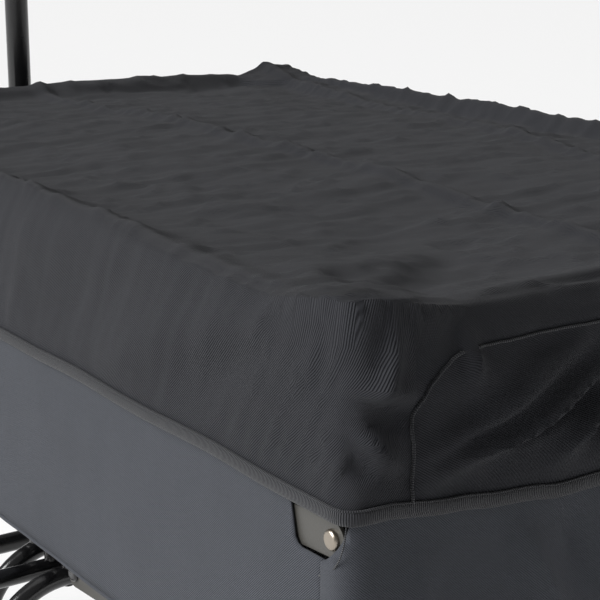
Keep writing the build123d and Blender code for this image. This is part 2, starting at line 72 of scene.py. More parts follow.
def arc(start, stop, step):
    """(cosine, sine) of every step from one angle to another, in degrees."""
    turns = [math.radians(turn) for turn in range(start, stop + 1, step)]
    return [(math.cos(turn), math.sin(turn)) for turn in turns]


def wobble(x, y, z):
    """Smooth noise at a place, about -1 to 1."""
    return noise.noise(Vector((x, y, z)))


def scaled(colour, share):
    return tuple(channel * share for channel in colour)


TINY = 1e-6

# ---- driving sizes ----
SKIRT = 0.100            # height of the cover's skirt below the rim
SEAM_DROP = 0.023        # from the rim down to the seam across an end
SEAM_INSET = 0.042       # from the cover's side to the seam up an end
CAP_R = 0.0125           # a post cap's radius and 1 mm of clearance

# ---- sizes read from the frame ----
COVER_LOW, COVER_HIGH = span("cover_main_panel")
SKIN_LOW, SKIN_HIGH = span("tub_end_rear")
ROLL_LOW, ROLL_HIGH = span("rim_rolls")
POST_LOW, POST_HIGH = span("rear_posts")
CAP_HIGH_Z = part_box("rear_post_caps")[1][2]
TOP_TUBE_LOW, TOP_TUBE_HIGH = span("rear_top_tube")
LINER_LOW, LINER_HIGH = span("tub_liner")
MAT_LOW, MAT_HIGH = span("floor_mat")
RIVET_LOW, RIVET_HIGH = span("rear_corner_rivets")

HALF_X = COVER_HIGH.x
HALF_Y = COVER_HIGH.y
HEM_Z = COVER_LOW.z
RIM_Z = HEM_Z + SKIRT
SKIN_X = -SKIN_LOW.x
SKIN_Y = SKIN_HIGH.y
TUB_LOW_Z = SKIN_LOW.z
TUB_HIGH_Z = SKIN_HIGH.z
POST_R = (POST_HIGH.x - POST_LOW.x) / 2
POST_X = -(POST_HIGH.x + POST_LOW.x) / 2
POST_Y = POST_HIGH.y - POST_R
PIVOT_Z = (RIVET_LOW.z + RIVET_HIGH.z) / 2
END_SEAM_Z = RIM_Z - SEAM_DROP
SEAM_Y = HALF_Y - SEAM_INSET


def crumples(piece):
    """Give the piece its own copy of its mesh."""
    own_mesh(piece)


# ---- camera, lights and floor ----
CAMERA_LENS = 98.0
CAMERA_PITCH = 14.7      # degrees down
CAMERA_HEADING = 236.0
CAMERA_BACK = (0.625, 0.450, 0.315)      # behind the cover's end, beyond its side, and above its hem
SUN_STRENGTH = 4.4
SUN_SPREAD = 38.0
OVERHEAD_POWER = 9.0
SURROUND = 0.20


def place_camera():
    """Close view of the rear left corner, from slightly above."""
    data = bpy.data.cameras.new("camera")
    data.lens = CAMERA_LENS
    data.sensor_width = 36.0
    camera = bpy.data.objects.new("camera", data)
    bpy.context.collection.objects.link(camera)
    camera.location = (-HALF_X - CAMERA_BACK[0], HALF_Y + CAMERA_BACK[1], HEM_Z + CAMERA_BACK[2])
    camera.rotation_euler = (math.radians(90 - CAMERA_PITCH), 0, math.radians(CAMERA_HEADING))
    bpy.context.scene.camera = camera


def aimed(name, kind, location, target):
    """New light at a place, pointing at another."""
    data = bpy.data.lights.new(name, kind)
    light = bpy.data.objects.new(name, data)
    bpy.context.collection.objects.link(light)
    light.location = location
    light.rotation_euler = (Vector(target) - Vector(location)).to_track_quat("-Z", "Y").to_euler()
    return data


def area_light(name, location, target, size, power):
    data = aimed(name, "AREA", location, target)
    data.shape = "RECTANGLE"
    data.size = size[0]
    data.size_y = size[1]
    data.energy = power


def light_scene():
    """Broad soft key from the cart's left, a weak overhead panel, and a dim surround."""
    middle = (0, 0, 0.5)
    key = aimed("key", "SUN", (1.3, 3.6, 2.9), middle)
    key.energy = SUN_STRENGTH
    key.angle = math.radians(SUN_SPREAD)
    area_light("overhead", (0.3, 0.3, 3.0), middle, (2.2, 2.2), OVERHEAD_POWER)
    world = bpy.data.worlds.new("studio")
    world.use_nodes = True
    surround = world.node_tree.nodes["Background"]
    surround.inputs["Color"].default_value = (1.0, 1.0, 1.0, 1.0)
    surround.inputs["Strength"].default_value = SURROUND
    bpy.context.scene.world = world
    bpy.context.scene.view_settings.view_transform = "Standard"


def lay_floor():
    bpy.ops.mesh.primitive_plane_add(size=70.0, location=(0, 0, 0))
    floor = bpy.context.object
    floor.name = "floor"
    shader = Shader("pale_floor", (1.0, 1.0, 1.0), 0.8)
    floor.data.materials.append(shader.material)


# ---- materials ----
class Shader:
    """A procedural material on one Principled shader."""

    def __init__(self, name, colour, roughness, **sockets):
        self.material = bpy.data.materials.new(name)
        self.material.use_nodes = True
        self.nodes = self.material.node_tree.nodes
        self.principled = self.nodes["Principled BSDF"]
        self.set("Base Color", (*colour, 1.0))
        self.set("Roughness", roughness)
        for socket, value in sockets.items():
            self.set(socket.replace("_", " "), value)

    def set(self, socket, value):
        self.principled.inputs[socket].default_value = value

    def add(self, kind, **settings):
        node = self.nodes.new(kind)
        for key, value in settings.items():
            setattr(node, key, value)
        return node

    def link(self, out, into):
        self.material.node_tree.links.new(out, into)

    def math(self, operation, first, second=None):
        """One Math node. Each operand is a number or a socket."""
        node = self.add("ShaderNodeMath", operation=operation)
        for index, operand in enumerate((first, second)):
            if isinstance(operand, (int, float)):
                node.inputs[index].default_value = operand
            elif operand is not None:
                self.link(operand, node.inputs[index])
        return node.outputs[0]

    def drive(self, socket, value):
        self.link(value, self.principled.inputs[socket])

    def swing(self, value, amount):
        """Turn 0..1 into a swing about zero."""
        return self.math("MULTIPLY", self.math("SUBTRACT", value, 0.5), amount)

    def waves(self, value, pitch):
        return self.math("SINE", self.math("MULTIPLY", value, 2 * math.pi / pitch))

    def mix(self, factor, low, high):
        """Blend two colours by a socket."""
        node = self.add("ShaderNodeMix", data_type="RGBA")
        self.link(factor, node.inputs["Factor"])
        for socket, colour in (("A", low), ("B", high)):
            target = [s for s in node.inputs if s.name == socket and s.type == "RGBA"][0]
            if isinstance(colour, tuple):
                target.default_value = (*colour, 1.0)
            else:
                self.link(colour, target)
        return [s for s in node.outputs if s.type == "RGBA"][0]

    def noise(self, vector, scale, detail=3.0, roughness=0.5):
        node = self.add("ShaderNodeTexNoise")
        node.inputs["Scale"].default_value = scale
        node.inputs["Detail"].default_value = detail
        node.inputs["Roughness"].default_value = roughness
        self.link(vector, node.inputs["Vector"])
        return node.outputs["Fac"]

    def stretch(self, vector, scale):
        node = self.add("ShaderNodeMapping")
        node.inputs["Scale"].default_value = scale
        self.link(vector, node.inputs["Vector"])
        return node.outputs[0]

    def ramp(self, value, low, high):
        """Rescale a socket from low..high to 0..1."""
        node = self.add("ShaderNodeMapRange")
        node.inputs["From Min"].default_value = low
        node.inputs["From Max"].default_value = high
        self.link(value, node.inputs["Value"])
        return node.outputs[0]

    def bump(self, height, distance, strength, below=None):
        node = self.add("ShaderNodeBump")
        node.inputs["Distance"].default_value = distance
        node.inputs["Strength"].default_value = strength
        self.link(height, node.inputs["Height"])
        if below is not None:
            self.link(below, node.inputs["Normal"])
        return node.outputs["Normal"]

    def object_space(self):
        return self.add("ShaderNodeTexCoord").outputs["Object"]

    def cloth_space(self):
        return self.add("ShaderNodeUVMap", uv_map="cloth").outputs[0]


def twill(name, colour, rib, angle, contrast, crumple):
    """Twill weave: diagonal ribs crossed by fine threads, faded in patches, with small creases. The ribs are
    also painted into the colour as painted shade, lighter on their crests and darker in their hollows.
    """
    shader = Shader(name, colour, 0.75, Sheen_Weight=0.05, Sheen_Roughness=0.45, Specular_IOR_Level=0.22)
    where = shader.cloth_space()
    turn = shader.add("ShaderNodeMapping")
    turn.inputs["Rotation"].default_value = (0, 0, angle)
    shader.link(where, turn.inputs["Vector"])
    parts = shader.add("ShaderNodeSeparateXYZ")
    shader.link(turn.outputs[0], parts.inputs[0])
    ribs = shader.waves(parts.outputs["X"], rib)
    threads = shader.waves(parts.outputs["Y"], (rib * 0.8))
    weave = shader.math("ADD", ribs, shader.math("MULTIPLY", threads, 0.12))
    patches = shader.noise(where, 9.0, 4.0)
    slubs = shader.noise(shader.stretch(where, (90.0, 600.0, 1.0)), 1.0, 2.0)
    # painted shade: the weave's ribs make the colour lighter on their crests and darker in their hollows; the
    # patches and slubs are real fading and uneven yarn
    tone = shader.math("ADD", shader.math("MULTIPLY", weave, contrast), 0.5)
    tone = shader.math("ADD", tone, shader.swing(patches, 0.55))
    tone = shader.math("ADD", tone, shader.swing(slubs, 0.35))
    dark = scaled(colour, 0.72)
    light = scaled(colour, 1.3)
    shader.drive("Base Color", shader.mix(tone, dark, light))
    creases = shader.noise(shader.stretch(where, (26.0, 9.0, 1.0)), 1.0, 5.0, 0.6)
    normal = shader.bump(creases, 0.004, crumple)
    normal = shader.bump(weave, rib * 0.25, 0.8, normal)
    shader.drive("Normal", normal)
    return shader.material


def ribbed(name, colour, pitch):
    """Elastic edging: close ribs across its length, painted darker in the grooves and lighter on the crests
    as painted shade.
    """
    shader = Shader(name, colour, 0.75, Sheen_Weight=0.2, Specular_IOR_Level=0.3)
    where = shader.cloth_space()
    parts = shader.add("ShaderNodeSeparateXYZ")
    shader.link(where, parts.inputs[0])
    ribs = shader.waves(parts.outputs["X"], pitch)
    fuzz = shader.noise(where, 900.0, 2.0)
    height = shader.math("ADD", ribs, fuzz)
    # painted shade: the colour follows the rib height, darker in the grooves and lighter on the crests
    tone = shader.ramp(height, -0.9, 1.9)
    dark = scaled(colour, 0.55)
    light = scaled(colour, 1.5)
    shader.drive("Base Color", shader.mix(tone, dark, light))
    shader.drive("Normal", shader.bump(height, pitch * 0.25, 0.8))
    return shader.material


def paint(name, colour, roughness, grain, scuffed, **sockets):
    """Coated metal: slight orange peel, and dull scuffs."""
    shader = Shader(name, colour, roughness, **sockets)
    where = shader.object_space()
    scuffs = shader.ramp(shader.noise(where, 34.0, 6.0, 0.7), 0.58, 0.75)
    shader.drive("Base Color", shader.mix(scuffs, colour, scuffed))
    dull = shader.math("ADD", shader.math("MULTIPLY", scuffs, 0.25), roughness)
    cloud = shader.noise(where, 12.0, 3.0)
    dull = shader.math("ADD", dull, shader.swing(cloud, 0.2))
    shader.drive("Roughness", dull)
    shader.drive("Normal", shader.bump(shader.noise(where, grain, 2.0), 0.0002, 0.4))
    return shader.material


def steel(name, colour, roughness):
    """Bare plated steel with fine brushing."""
    shader = Shader(name, colour, roughness, Metallic=1.0)
    where = shader.object_space()
    brushing = shader.noise(shader.stretch(where, (900.0, 120.0, 900.0)), 1.0, 3.0)
    cloud = shader.noise(where, 60.0, 3.0)
    dark = scaled(colour, 0.7)
    shader.drive("Base Color", shader.mix(cloud, dark, colour))
    dull = shader.math("ADD", shader.math("MULTIPLY", brushing, 0.2), roughness)
    shader.drive("Roughness", dull)
    shader.drive("Normal", shader.bump(brushing, 0.0001, 0.3))
    return shader.material


def moulded(name, colour, roughness, dusty):
    """Moulded plastic or rubber: fine spark-eroded grain, and dust in patches."""
    shader = Shader(name, colour, roughness, Specular_IOR_Level=0.4)
    where = shader.object_space()
    dust = shader.ramp(shader.noise(where, 18.0, 5.0, 0.65), 0.5, 0.85)
    shader.drive("Base Color", shader.mix(dust, colour, dusty))
    dull = shader.math("ADD", shader.math("MULTIPLY", dust, 0.2), roughness)
    shader.drive("Roughness", dull)
    shader.drive("Normal", shader.bump(shader.noise(where, 1500.0, 2.0), 0.0002, 0.5))
    return shader.material


def make_materials():
    return {
        "cover_cloth": twill("cover_twill", (0.0180, 0.0188, 0.0228), 0.00117, math.radians(-32), 0.40, 0.35),
        "cover_binding": ribbed("cover_binding", (0.0132, 0.0139, 0.0175), 0.0013),
        "tub_cloth": twill("tub_twill", (0.0520, 0.0560, 0.0665), 0.00106, math.radians(-47), 0.26, 0.2),
        "liner_cloth": twill("liner_twill", (0.035, 0.038, 0.045), 0.0010, math.radians(45), 0.16, 0.5),
        "mat_cloth": twill("mat_twill", (0.040, 0.044, 0.051), 0.0012, math.radians(45), 0.2, 0.3),
        "black_tube": paint("gloss_black", (0.006, 0.006, 0.0065), 0.22, 900.0, (0.016, 0.016, 0.016),
                            Coat_Weight=0.3, Coat_Roughness=0.15),
        "grey_steel": paint("grey_coat", (0.052, 0.050, 0.045), 0.38, 1400.0, (0.085, 0.082, 0.074)),
        "rivet_steel": steel("rivet", (0.42, 0.37, 0.31), 0.25),
        "axle_steel": steel("zinc", (0.52, 0.52, 0.54), 0.32),
        "black_plastic": moulded("black_plastic", (0.014, 0.014, 0.015), 0.5, (0.03, 0.03, 0.03)),
        "wheel_plastic": moulded("wheel_plastic", (0.045, 0.045, 0.048), 0.48, (0.075, 0.073, 0.07)),
        "button_plastic": moulded("button_plastic", (0.2, 0.2, 0.205), 0.3, (0.25, 0.25, 0.25)),
        "grip_rubber": moulded("grip_rubber", (0.012, 0.012, 0.012), 0.62, (0.03, 0.03, 0.03)),
        "tyre": moulded("tyre_rubber", (0.016, 0.016, 0.016), 0.7, (0.05, 0.047, 0.043)),
    }


EDGE_BEVEL = 0.0005


def dress_frame(materials):
    """Give every CAD node its material, and a small bevel that catches the light."""
    slots = {part["node"]: part["material_slot"] for part in frame["record"]["subparts"]}
    for name, node in frame["nodes"].items():
        for slot in node.material_slots:
            slot.material = materials[slots[name]]
        if not node.material_slots:
            node.data.materials.append(materials[slots[name]])
        bevel = node.modifiers.new("edge", "BEVEL")
        bevel.width = EDGE_BEVEL
        bevel.segments = 2
        bevel.limit_method = "ANGLE"
        bevel.angle_limit = math.radians(40)
        bevel.harden_normals = True


# ---- mesh helpers ----
def piece(name, vertices, faces, material, uvs=None):
    """A smooth mesh object. uvs holds one (u, v) in metres for each corner of each face."""
    mesh = bpy.data.meshes.new(name)
    mesh.from_pydata([tuple(v) for v in vertices], [], faces)
    if uvs is not None:
        layer = mesh.uv_layers.new(name="cloth")
        layer.data.foreach_set("uv", np.array(uvs, float).reshape(-1))
    mesh.validate()
    mesh.polygons.foreach_set("use_smooth", [True] * len(mesh.polygons))
    mesh.materials.append(material)
    thing = bpy.data.objects.new(name, mesh)
    bpy.context.collection.objects.link(thing)
    return thing


def grid_faces(columns, rows):
    """Quads of a grid whose vertices run row by row."""
    corners = [row * columns + column for row in range(rows - 1) for column in range(columns - 1)]
    return [(first, first + 1, first + columns + 1, first + columns) for first in corners]


def tube_faces(ring, count, closed):
    """Quads between one ring of vertices and the next."""
    faces = []
    for step in range(count if closed else count - 1):
        here, there = step * ring, (step + 1) % count * ring
        for index in range(ring):
            after = (index + 1) % ring
            faces.append((here + index, here + after, there + after, there + index))
    return faces


def facing_out(thing):
    """Turn every face of a closed mesh outwards."""
    mesh = bmesh.new()
    mesh.from_mesh(thing.data)
    bmesh.ops.recalc_face_normals(mesh, faces=mesh.faces)
    mesh.to_mesh(thing.data)
    mesh.free()
    return thing


def baked(thing):
    """Replace an object by its evaluated mesh, with no modifiers left."""
    graph = bpy.context.evaluated_depsgraph_get()
    mesh = bpy.data.meshes.new_from_object(thing.evaluated_get(graph), depsgraph=graph)
    thing.modifiers.clear()
    thing.data = mesh
    return thing


def subdivided(thing):
    modifier = thing.modifiers.new("smooth", "SUBSURF")
    modifier.levels = 1
    modifier.render_levels = 1
    return baked(thing)


def thickened(thing, thickness):
    modifier = thing.modifiers.new("thickness", "SOLIDIFY")
    modifier.thickness = thickness
    modifier.offset = -1.0
    return baked(thing)


def swept(name, path, section, material, closed=False, up=Vector((0, 0, 1))):
    """Sweep a closed section of (across, up) points along a path of Vectors."""
    count = len(path)
    vertices, lengths, reached = [], [], 0.0
    for index, point in enumerate(path):
        before = path[index - 1] if closed or index else path[0]
        after = path[(index + 1) % count] if closed or index < count - 1 else path[-1]
        ahead = (after - before).normalized()
        across = ahead.cross(up).normalized()
        rise = across.cross(ahead).normalized()
        vertices.extend(point + across * a + rise * b for a, b in section)
        lengths.append(reached)
        reached += (path[(index + 1) % count] - point).length
    ring = len(section)
    around = [0.0]
    for index in range(ring):
        here, there = section[index], section[(index + 1) % ring]
        around.append(around[-1] + math.dist(here, there))
    lengths.append(reached)
    faces = tube_faces(ring, count, closed)
    uvs = []
    for number in range(len(faces)):
        step, index = divmod(number, ring)
        uvs += [(lengths[step], around[index]), (lengths[step], around[index + 1]),
                (lengths[step + 1], around[index + 1]), (lengths[step + 1], around[index])]
    if not closed:
        for row, order in ((0, -1), (count - 1, 1)):
            cap = [row * ring + index for index in range(ring)][::order]
            faces.append(tuple(cap))
            uvs += [(lengths[row], 0.0)] * ring
    return facing_out(piece(name, vertices, faces, material, uvs))


def round_section(width, height, points):
    return [(width / 2 * math.cos(2 * math.pi * i / points), height / 2 * math.sin(2 * math.pi * i / points))
            for i in range(points)]


def joined(name, things):
    """Join several mesh objects into the first."""
    bpy.ops.object.select_all(action="DESELECT")
    for thing in things:
        thing.select_set(True)
    bpy.context.view_layer.objects.active = things[0]
    bpy.ops.object.join()
    things[0].name = name
    return things[0]


def distances(path):
    """Distance along a polyline to each of its points."""
    lengths = [0.0]
    for here, there in zip(path, path[1:]):
        lengths.append(lengths[-1] + (there - here).length)
    return lengths


def evenly(path, step):
    """Points at equal steps along a polyline."""
    lengths = distances(path)
    count = max(2, round(lengths[-1] / step))
    wanted = np.linspace(0, lengths[-1], count)
    columns = [np.interp(wanted, lengths, [point[axis] for point in path]) for axis in range(3)]
    return [Vector(row) for row in zip(*columns)]


# ---- boxy sheets: the cover and the liner ----
BIAS = (math.cos(math.radians(-102)), math.sin(math.radians(-102)))


def breaks(low, high, step, fixed=()):
    """Grid lines about one step apart that include every fixed value."""
    marks = sorted({low, high, *fixed})
    lines = []
    for start, end in zip(marks, marks[1:]):
        count = max(1, round((end - start) / step))
        lines += [start + (end - start) * i / count for i in range(count)]
    return lines + [high]


def on_the_bias(u, v):
    """Cloth coordinates of the main panel, whose weave is turned against the end panels'."""
    return (u * BIAS[0] - v * BIAS[1], u * BIAS[1] + v * BIAS[0])


def box_cloth(side, point, half_x, half_y, flat_z):
    """Cloth coordinates of a box point, as a face on one side has them."""
    x, y, z = point
    drop = abs(z - flat_z)
    if side == "end":
        return (half_x + drop, y)
    if side == "flat":
        return on_the_bias(x, y)
    if side == "end_top":
        return on_the_bias(math.copysign(half_x + drop, x), y)
    if side == "end_wrap":
        return on_the_bias(math.copysign(half_x + half_y - abs(y), x), math.copysign(half_y + drop, y))
    return on_the_bias(x, math.copysign(half_y + drop, y))


def end_part(ys, zs):
    """What a cell of an end wall is cut from: the end panel, or the main panel beside or above it."""
    if min(abs(y) for y in ys) > SEAM_Y - TINY:
        return "end_wrap"
    return "end_top" if min(zs) > END_SEAM_Z - TINY else "end"


def box_sheet(half_x, half_y, flat_z, edge_z, step, y_marks=(), z_marks=()):
    """Quads of a sheet on five sides of a box: the flat one at flat_z, and four walls that run to edge_z.

    Returns box points, faces, one cloth coordinate per face corner, and the face's side."""
    xs = breaks(-half_x, half_x, step)
    ys = breaks(-half_y, half_y, step, y_marks)
    zs = breaks(min(flat_z, edge_z), max(flat_z, edge_z), step, z_marks)
    index, points, faces, uvs = {}, [], [], []

    def vertex(x, y, z):
        key = (round(x, 7), round(y, 7), round(z, 7))
        if key not in index:
            index[key] = len(points)
            points.append((x, y, z))
        return index[key]

    def quad(side, *corners):
        faces.append(tuple(vertex(*corner) for corner in corners))
        uvs.extend(box_cloth(side, corner, half_x, half_y, flat_z) for corner in corners)

    for x0, x1 in zip(xs, xs[1:]):
        for y0, y1 in zip(ys, ys[1:]):
            quad("flat", (x0, y0, flat_z), (x1, y0, flat_z), (x1, y1, flat_z), (x0, y1, flat_z))
    for z0, z1 in zip(zs, zs[1:]):
        for x0, x1 in zip(xs, xs[1:]):
            quad("left", (x1, half_y, z0), (x0, half_y, z0), (x0, half_y, z1), (x1, half_y, z1))
            quad("right", (x0, -half_y, z0), (x1, -half_y, z0), (x1, -half_y, z1), (x0, -half_y, z1))
        for y0, y1 in zip(ys, ys[1:]):
            side = end_part((y0, y1), (z0, z1))
            quad(side, (-half_x, y1, z0), (-half_x, y0, z0), (-half_x, y0, z1), (-half_x, y1, z1))
            quad(side, (half_x, y0, z0), (half_x, y1, z0), (half_x, y1, z1), (half_x, y0, z1))
    if edge_z >= flat_z:
        faces = [face[::-1] for face in faces]
        uvs = [uv for number in range(len(faces)) for uv in uvs[number * 4:number * 4 + 4][::-1]]
    return points, faces, uvs


def rounded(point, half_x, half_y, flat_z, plan_r, edge_r):
    """Move a box point onto the same box with its upright corners and its flat side's edges rounded."""
    x, y, z = point
    core = Vector((within(x, half_x - plan_r), within(y, half_y - plan_r), 0))
    away = Vector((x - core.x, y - core.y, 0))
    reach = max(abs(away.x), abs(away.y))
    rise = math.copysign(edge_r - min(edge_r, abs(flat_z - z)), flat_z - HEM_Z)
    spread = edge_r - min(edge_r, plan_r - reach)
    over = math.hypot(rise, spread)
    pull = min(1.0, edge_r / over) if over > 0 and rise and spread else 1.0
    outward = away.normalized() if reach > 0 else Vector((0, 0, 0))
    return core + outward * (reach - spread * (1 - pull)) + Vector((0, 0, z - rise * (1 - pull)))


CLOTH = {"quality": 7, "mass": 0.0006, "air_damping": 2.5, "tension_stiffness": 12.0,
         "compression_stiffness": 8.0, "shear_stiffness": 4.0, "bending_stiffness": 0.04}
CLOTH_GAP = 0.0012       # between the settling cloth and what it lies on


def drape(sheet, pinned, full, obstacles, frames):
    """Let the sheet settle on the obstacles as cloth cut a little too large.

    full holds each vertex's share of the extra fullness."""
    sheet.vertex_groups.new(name="pinned").add(pinned, 1.0, "REPLACE")
    fullness = sheet.vertex_groups.new(name="full")
    for number, share in enumerate(full):
        fullness.add([number], share, "REPLACE")
    for obstacle in obstacles:
        obstacle.modifiers.new("solid", "COLLISION")
        obstacle.collision.thickness_outer = CLOTH_GAP
        obstacle.collision.cloth_friction = 6.0
    cloth = sheet.modifiers.new("cloth", "CLOTH")
    settings = cloth.settings
    for name, value in CLOTH.items():
        setattr(settings, name, value)
    settings.vertex_group_shrink = "full"
    settings.shrink_min = -SLACK
    settings.shrink_max = -SLACK - FULLNESS
    settings.vertex_group_mass = "pinned"
    settings.pin_stiffness = 1.0
    cloth.collision_settings.distance_min = CLOTH_GAP
    cloth.point_cache.frame_end = frames
    for number in range(1, frames + 1):
        bpy.context.scene.frame_set(number)
    baked(sheet)
    bpy.context.scene.frame_set(1)
    for obstacle in obstacles:
        bpy.data.objects.remove(obstacle)
    sheet.vertex_groups.clear()


def bar(name, start, end, radius, material):
    """Plain round bar used as an obstacle."""
    start, end = Vector(start), Vector(end)
    up = Vector((0, 0, 1)) if abs((end - start).normalized().z) < 0.9 else Vector((1, 0, 0))
    return swept(name, [start, end], round_section(radius * 2, radius * 2, 16), material, up=up)


def block(name, half, low, high, material):
    """Closed box about the Z axis."""
    corners = [(x, y, z) for z in (low, high) for x, y in ((-1, -1), (1, -1), (1, 1), (-1, 1))]
    vertices = [(x * half[0], y * half[1], z) for x, y, z in corners]
    sides = [(n, (n + 1) % 4, (n + 1) % 4 + 4, n + 4) for n in range(4)]
    return facing_out(piece(name, vertices, sides + [(0, 1, 2, 3), (4, 5, 6, 7)], material))


def rim_obstacles(material):
    """What the cover lies on: the end tubes, the side rolls, the post caps, and the tub's walls."""
    things = []
    tube_z = (TOP_TUBE_LOW.z + TOP_TUBE_HIGH.z) / 2
    tube_r = (TOP_TUBE_HIGH.z - TOP_TUBE_LOW.z) / 2
    roll_r = (ROLL_HIGH.z - ROLL_LOW.z) / 2
    roll_y = ROLL_HIGH.y - roll_r
    roll_z = ROLL_LOW.z + roll_r
    for sign in (-1, 1):
        end_x = sign * POST_X
        side_y = sign * roll_y
        things.append(bar("end", (end_x, -POST_Y, tube_z), (end_x, POST_Y, tube_z), tube_r + 0.001, material))
        ends = [(x, side_y, roll_z) for x in (-POST_X, POST_X)]
        things.append(bar("side", *ends, roll_r + 0.002, material))
        for other in (-1, 1):
            foot = (end_x, other * POST_Y, TUB_HIGH_Z - 0.04)
            things.append(bar("cap", foot, (foot[0], foot[1], CAP_HIGH_Z - 0.001), CAP_R, material))
    low, high = HEM_Z - 0.03, TUB_HIGH_Z - 0.003
    inset = LOOSE_R - 0.003
    things.append(block("end_walls", (POST_X + WALL_KEEP, SKIN_Y - inset), low, high, material))
    things.append(block("side_walls", (SKIN_X - inset, POST_Y + WALL_KEEP), low, high, material))
    return [joined("rim_obstacle", things)]


# ---- rain cover ----
def ridge(distance, width):
    return math.exp(-(distance / width) ** 2)


def crumpled(point, pattern):
    """A pattern's height, and its noise at a point. It runs longer along axes with a small stretch."""
    height, stretch, seed = pattern
    where = Vector([value * share for value, share in zip(point, stretch)]) + Vector((seed, 0, 0))
    return height, noise.noise(where) + 0.5 * noise.noise(where * 2.1) + 0.25 * noise.noise(where * 4.3)


def crumple(point, pattern):
    height, value = crumpled(point, pattern)
    return height * value


def creases(point, pattern):
    """Thin raised creases along the places where the noise is about zero."""
    height, value = crumpled(point, pattern)
    return height * max(0.0, 1.0 - abs(value) * 4.0) ** 2


PACK_CREASES_X = (-0.27, -0.06, 0.14, 0.33)      # creases across the top
PACK_CREASE = (0.0022, 0.006)                     # their height and width
LONG_CREASES = ((0.026, 0.0), (-0.178, -0.16))    # (middle Y, slope) of the creases along the top
LONG_CREASE = (0.0050, 0.007)
# Height, stretch along each axis and seed of the smaller wrinkles.
TOP_WAVES = (0.0026, (34, 13, 10), 3)
TOP_CREASES = (0.0022, (30, 11, 10), 17)
SIDE_WAVES = (0.0022, (26, 8, 9), 11)
SIDE_CREASES = (0.0030, (70, 8, 22), 5)
END_WAVES = (0.0022, (1, 15, 24), 23)


def cover_relief(point, normal):
    """How far the draped cover stands proud at a point, from packing creases and small folds."""
    top = max(0.0, normal.z) ** 2
    relief = 0.0
    for middle, slope in LONG_CREASES:
        wander = 0.004 * wobble(point.x * 6, middle * 50, 0)
        away = point.y - middle - slope * point.x - wander
        relief += LONG_CREASE[0] * top * ridge(away, LONG_CREASE[1])
    for number, x in enumerate(PACK_CREASES_X):
        wander = 0.006 * wobble(point.y * 7, number * 9, 0)
        relief += PACK_CREASE[0] * top * ridge(point.x - x - wander, PACK_CREASE[1])
    relief += top * (crumple(point, TOP_WAVES) + creases(point, TOP_CREASES))
    side = abs(normal.y) ** 2
    slanted = Vector((point.x + point.z * 0.55, point.y, point.z * 0.35))
    near_end = clamped((abs(point.x) - HALF_X + 0.16) / 0.12)
    relief += side * (crumple(slanted, SIDE_WAVES) + near_end * creases(slanted, SIDE_CREASES))
    return relief + end_folds(point, normal)


POST_CLEAR = 0.0118      # behind the cover, the tub's end cloth lies this far from a post's middle
SIDE_TUCK = 0.0045       # the side cloth draws in this far behind the cover
WALL_KEEP = 0.0138       # the cover stays this far from the middle of a post, and from the line between posts
TENT_R = 0.060           # the cloth hangs from a cap like a tent within this of it
TENT_SLOPE = 0.22        # and drops this steeply away from it
TENT_LOW_Z = HEM_Z + 0.03
HELD = 0.012             # the cover keeps its shape this far up from its hem
LYING = 0.0015           # cloth lies this far above the top of a cap


def tucked(z):
    """How far the tub's cloth has drawn in at a height, as a share."""
    return clamped((z - HEM_Z) / 0.015)


# Folds beside each corner of the skirt. A fold runs through places given as (distance in from the
# cover's side, height above the hem), then has a width and a height. A groove has a negative height.
END_FOLDS = (
    (((0.046, 0.000), (0.080, 0.009), (0.125, 0.019)), 0.0048, 0.0100),
    (((0.060, -0.004), (0.100, 0.004), (0.140, 0.010)), 0.0045, -0.0080),
    (((0.050, 0.008), (0.105, 0.022), (0.175, 0.050)), 0.0056, 0.0145),
    (((0.070, 0.008), (0.115, 0.018), (0.170, 0.040)), 0.0048, -0.0110),
    (((0.118, -0.008), (0.150, 0.008), (0.176, 0.032)), 0.0045, 0.0125),
    (((0.135, -0.010), (0.170, 0.008), (0.205, 0.040)), 0.0058, -0.0100),
    (((0.050, 0.020), (0.110, 0.045), (0.160, 0.068)), 0.0066, 0.0085),
    (((0.165, -0.012), (0.200, 0.012), (0.245, 0.060)), 0.0062, 0.0115),
    (((0.076, 0.084), (0.082, 0.062)), 0.0045, 0.0080),
)
CORNER_FOLDS = (
    (((0.033, 0.092), (0.031, 0.076), (0.020, 0.056)), 0.0055, 0.0090),
    (((0.012, 0.054), (0.040, 0.042)), 0.0075, -0.0085),
    (((0.014, 0.066), (0.042, 0.058)), 0.0060, 0.0070),
    (((0.014, 0.042), (0.036, 0.014)), 0.0060, 0.0095),
    (((0.004, 0.040), (0.018, 0.014)), 0.0080, -0.0070),
    (((0.000, 0.060), (0.004, 0.022)), 0.0050, 0.0060),
    (((0.028, 0.026), (0.042, 0.006)), 0.0065, -0.0060),
    (((0.010, 0.010), (0.030, 0.004)), 0.0055, 0.0040),
)
# Folds in an end panel of the tub, in the same terms.
TUB_FOLDS = (
    (((0.112, -0.018), (0.128, -0.050), (0.150, -0.095)), 0.0080, 0.0085),
    (((0.152, -0.020), (0.172, -0.080)), 0.0090, -0.0060),
    (((0.050, -0.020), (0.046, -0.080), (0.050, -0.130)), 0.0100, 0.0050),
)


def along_fold(place, fold):
    """Height of a fold at a place: full at its middle, and none beyond its ends."""
    route, width, height = fold
    nearest, travelled, reached = 1.0, 0.0, 0.0
    for start, end in zip(route, route[1:]):
        run = (end[0] - start[0], end[1] - start[1])
        length = math.hypot(*run)
        past = (place[0] - start[0], place[1] - start[1])
        share = clamped((past[0] * run[0] + past[1] * run[1]) / length ** 2)
        away = math.hypot(past[0] - run[0] * share, past[1] - run[1] * share)
        if away < nearest:
            nearest, reached = away, travelled + share * length
        travelled += length
    taper = math.sin(math.pi * min(1.0, 0.08 + 0.84 * reached / travelled)) ** 0.6
    return height * taper * ridge(nearest, width)


